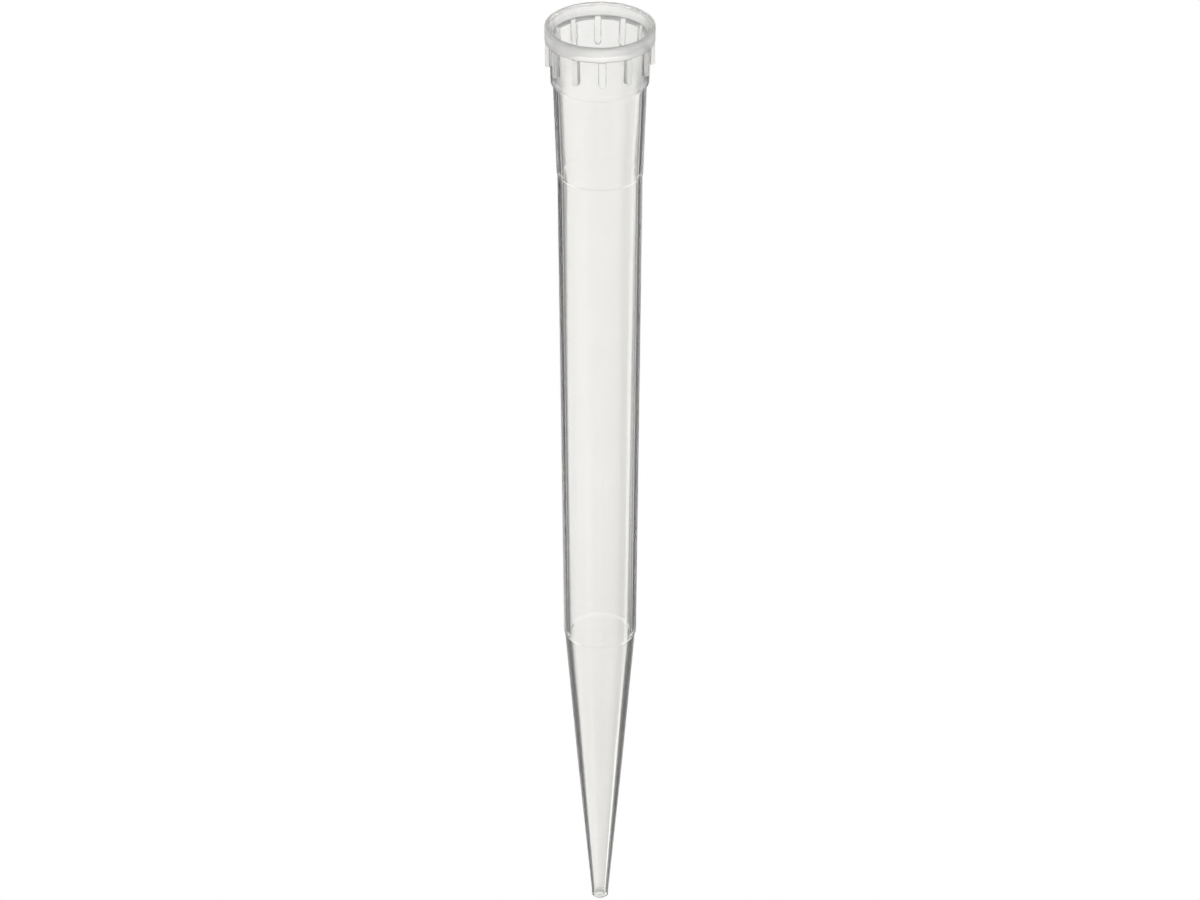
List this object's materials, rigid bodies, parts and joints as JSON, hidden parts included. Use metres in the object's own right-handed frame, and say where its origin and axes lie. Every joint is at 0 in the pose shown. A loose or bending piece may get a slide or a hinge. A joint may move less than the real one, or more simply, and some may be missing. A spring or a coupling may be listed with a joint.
{
  "type": "pipette tip",
  "caption": "Clear moulded pipette tip: ribbed collar with a press-on socket, long slim barrel, conical nozzle with a fine orifice.",
  "frame": {"origin": "centre of the collar's end face, which the tip stands on", "axes": "+Z along the tip's axis from the collar to the orifice; one grip rib lies 2.5 degrees from -Y, on the -X side"},
  "size_m": [0.016, 0.016, 0.148],
  "materials": {
    "clear_polypropylene": "clear natural polypropylene, glossy, slightly milky in the collar"
  },
  "bodies": {
    "root": {"pipette_tip": "clear_polypropylene"}
  },
  "joints": []
}
